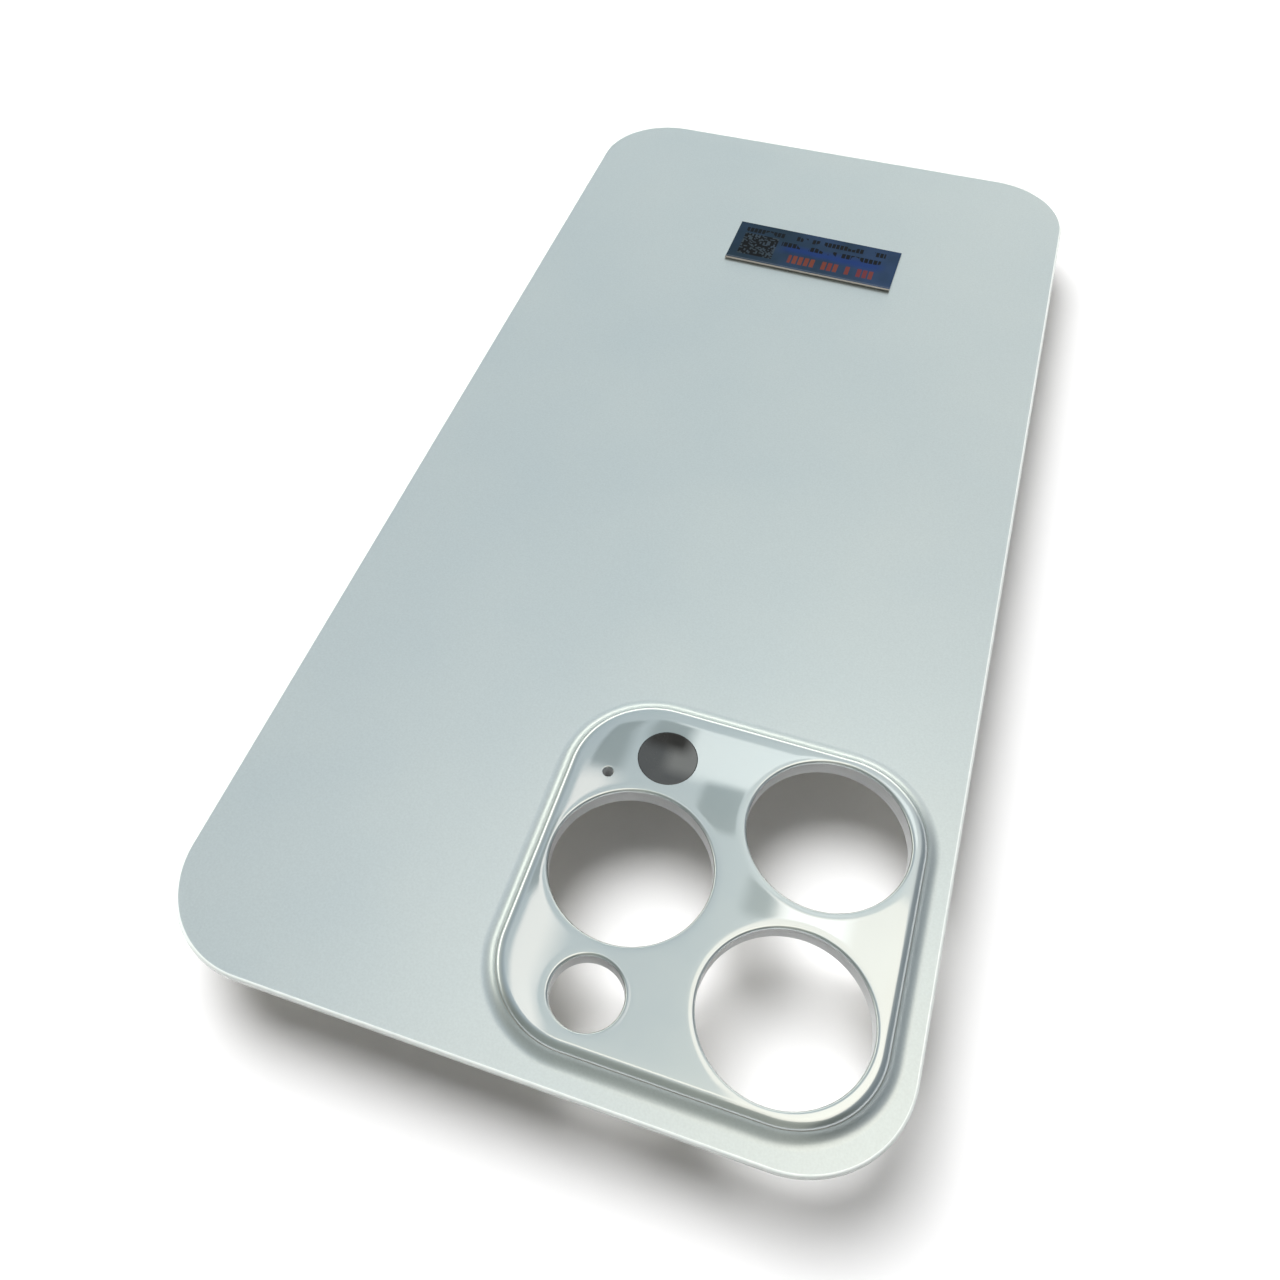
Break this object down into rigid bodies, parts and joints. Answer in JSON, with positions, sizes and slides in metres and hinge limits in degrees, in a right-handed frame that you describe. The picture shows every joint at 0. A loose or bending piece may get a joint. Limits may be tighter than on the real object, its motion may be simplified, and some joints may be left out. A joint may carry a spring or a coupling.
{
  "type": "phone rear glass panel",
  "caption": "Rear glass panel for a phone: matt silver-backed sheet with rounded corners and a raised glossy camera plateau pierced by lens and flash openings.",
  "frame": {"origin": "middle of the panel's outline at its lowest face, the outer face of the release liner", "axes": "+Z out of the outer face of the glass, +Y along the length away from the camera end, +X towards the side that the camera plateau sits on"},
  "size_m": [0.075, 0.1564, 0.0027],
  "materials": {
    "silver_backed_glass": "acid-etched matt outer face over a silver film, polished rim and plateau",
    "silver_film": "vapour-coated decorative film, satin",
    "dark_window_glass": "polished dark glass",
    "black_tape": "die-cut acrylic foam tape, matt",
    "clear_adhesive": "clear acrylic adhesive",
    "acoustic_mesh": "fine woven polyester mesh",
    "release_liner": "siliconised release liner, satin",
    "label_film": "holographic polyester label stock"
  },
  "bodies": {
    "root": {"cover_glass": "silver_backed_glass", "film_adhesive": "clear_adhesive", "decor_film": "silver_film", "sensor_window": "dark_window_glass", "sensor_window_adhesive": "black_tape", "mic_mesh": "acoustic_mesh", "mic_mesh_adhesive": "clear_adhesive", "panel_adhesive": "black_tape", "camera_adhesive": "black_tape", "panel_liner": "release_liner", "camera_liner": "release_liner", "label_film": "label_film", "label_adhesive": "clear_adhesive"}
  },
  "joints": []
}
